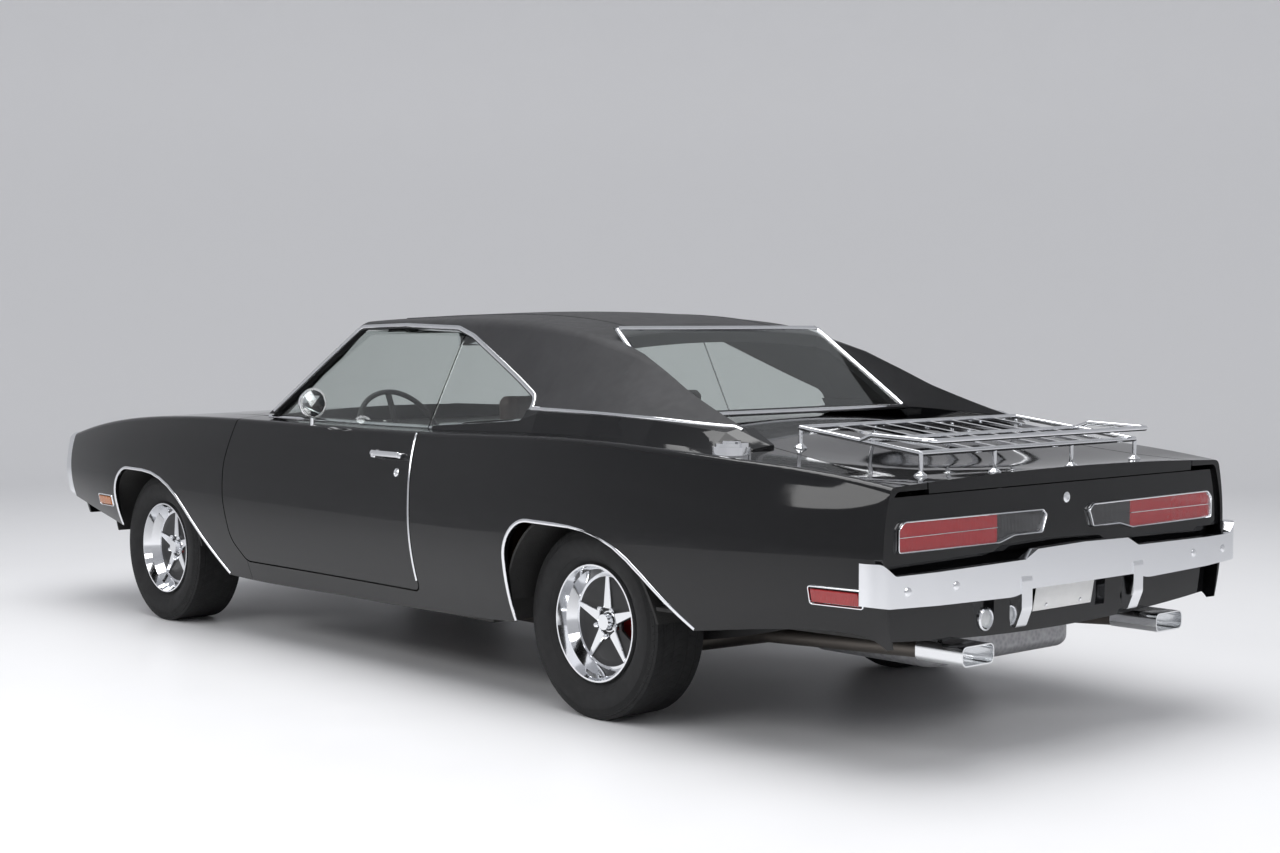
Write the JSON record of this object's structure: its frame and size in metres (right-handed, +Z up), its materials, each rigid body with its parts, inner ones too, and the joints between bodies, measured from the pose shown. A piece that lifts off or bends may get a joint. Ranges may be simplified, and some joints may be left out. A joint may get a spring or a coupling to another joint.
{
  "type": "two-door fastback muscle car",
  "caption": "Two-door hardtop fastback car with sail panels, vinyl roof, long tail lamps, luggage rack and five-spoke wheels.",
  "frame": {"origin": "on the ground, on the centreline, midway along the overall length", "axes": "+X to the car's left, +Y to its tail, +Z up"},
  "size_m": [1.9394, 5.283, 1.3818],
  "materials": {
    "black_paint": "gloss black body paint",
    "vinyl_roof": "grained matte charcoal vinyl",
    "chrome_trim": "bright plate",
    "grille_black": "satin black",
    "clear_glass": "clear, faint grey tint",
    "underbody": "satin black undercoat",
    "axle_black": "satin black",
    "engine_iron": "painted iron",
    "exhaust_steel": "dull steel, bright tips",
    "tank_steel": "dull zinc",
    "dash_black": "padded black",
    "seat_vinyl": "brown-black upholstery",
    "red_lens": "clear red lens",
    "tyre_rubber": "black rubber",
    "wheel_chrome": "bright spokes and ring"
  },
  "bodies": {
    "body": {"fender_left": "black_paint", "fender_right": "black_paint", "quarter_left": "black_paint", "quarter_right": "black_paint", "tail_panel": "black_paint", "rear_valance": "black_paint", "front_valance": "black_paint", "cowl": "black_paint", "rear_deck": "black_paint", "roof": "vinyl_roof", "front_bumper": "chrome_trim", "rear_bumper": "chrome_trim", "grille": "grille_black", "windshield": "clear_glass", "rear_window": "clear_glass", "quarter_glass": "clear_glass", "floor_pan": "underbody", "wheelhouses": "underbody", "front_frame": "underbody", "rear_axle": "axle_black", "engine": "engine_iron", "exhaust": "exhaust_steel", "fuel_tank": "tank_steel", "dashboard": "dash_black", "steering_column": "dash_black", "front_seats": "seat_vinyl", "rear_seat": "seat_vinyl", "fuel_cap": "chrome_trim", "tail_lamps": "red_lens"},
    "hood": {"hood": "black_paint"},
    "trunk_lid": {"trunk_lid": "black_paint", "luggage_rack": "chrome_trim"},
    "door_left": {"door_left": "black_paint", "door_glass_left": "clear_glass", "door_mirror": "chrome_trim"},
    "door_right": {"door_right": "black_paint", "door_glass_right": "clear_glass"},
    "knuckle_left": {"knuckle_left": "axle_black"},
    "knuckle_right": {"knuckle_right": "axle_black"},
    "steering_wheel": {"steering_wheel": "dash_black"},
    "wheel_front_left": {"tyre_front_left": "tyre_rubber", "wheel_front_left": "wheel_chrome"},
    "wheel_front_right": {"tyre_front_right": "tyre_rubber", "wheel_front_right": "wheel_chrome"},
    "wheel_rear_left": {"tyre_rear_left": "tyre_rubber", "wheel_rear_left": "wheel_chrome"},
    "wheel_rear_right": {"tyre_rear_right": "tyre_rubber", "wheel_rear_right": "wheel_chrome"}
  },
  "joints": [
    {"name": "hood_hinge", "type": "hinge", "parent": "body", "child": "hood", "pos_m": [0, -1.13, 0.982], "axis": [-1, 0, 0], "range_deg": [0, 50]},
    {"name": "trunk_hinge", "type": "hinge", "parent": "body", "child": "trunk_lid", "pos_m": [0, 1.47, 1.003], "axis": [1, 0, 0], "range_deg": [0, 65]},
    {"name": "door_left_hinge", "type": "hinge", "parent": "body", "child": "door_left", "pos_m": [0.942, -1.01, 0.64], "axis": [0, 0, -1], "range_deg": [0, 65]},
    {"name": "door_right_hinge", "type": "hinge", "parent": "body", "child": "door_right", "pos_m": [-0.942, -1.01, 0.64], "axis": [0, 0, 1], "range_deg": [0, 65]},
    {"name": "steer_left", "type": "hinge", "parent": "body", "child": "knuckle_left", "pos_m": [0.655, -1.7065, 0.325], "axis": [0, 0, 1], "range_deg": [-30, 30]},
    {"name": "steer_right", "type": "hinge", "parent": "body", "child": "knuckle_right", "pos_m": [-0.655, -1.7065, 0.325], "axis": [0, 0, 1], "range_deg": [-30, 30]},
    {"name": "steering_wheel_turn", "type": "hinge", "parent": "body", "child": "steering_wheel", "pos_m": [0.37, -0.56, 0.868], "axis": [0, -0.9, -0.436], "range_deg": [-480, 480]},
    {"name": "spin_front_left", "type": "hinge", "parent": "knuckle_left", "child": "wheel_front_left", "pos_m": [0.758, -1.7065, 0.325], "axis": [1, 0, 0], "continuous": true},
    {"name": "spin_front_right", "type": "hinge", "parent": "knuckle_right", "child": "wheel_front_right", "pos_m": [-0.758, -1.7065, 0.325], "axis": [1, 0, 0], "continuous": true},
    {"name": "spin_rear_left", "type": "hinge", "parent": "body", "child": "wheel_rear_left", "pos_m": [0.752, 1.2655, 0.325], "axis": [1, 0, 0], "continuous": true},
    {"name": "spin_rear_right", "type": "hinge", "parent": "body", "child": "wheel_rear_right", "pos_m": [-0.752, 1.2655, 0.325], "axis": [1, 0, 0], "continuous": true}
  ],
  "couplings": [
    {"joint": "steer_right", "follows": "steer_left", "ratio": 1},
    {"joint": "steering_wheel_turn", "follows": "steer_left", "ratio": 16}
  ]
}
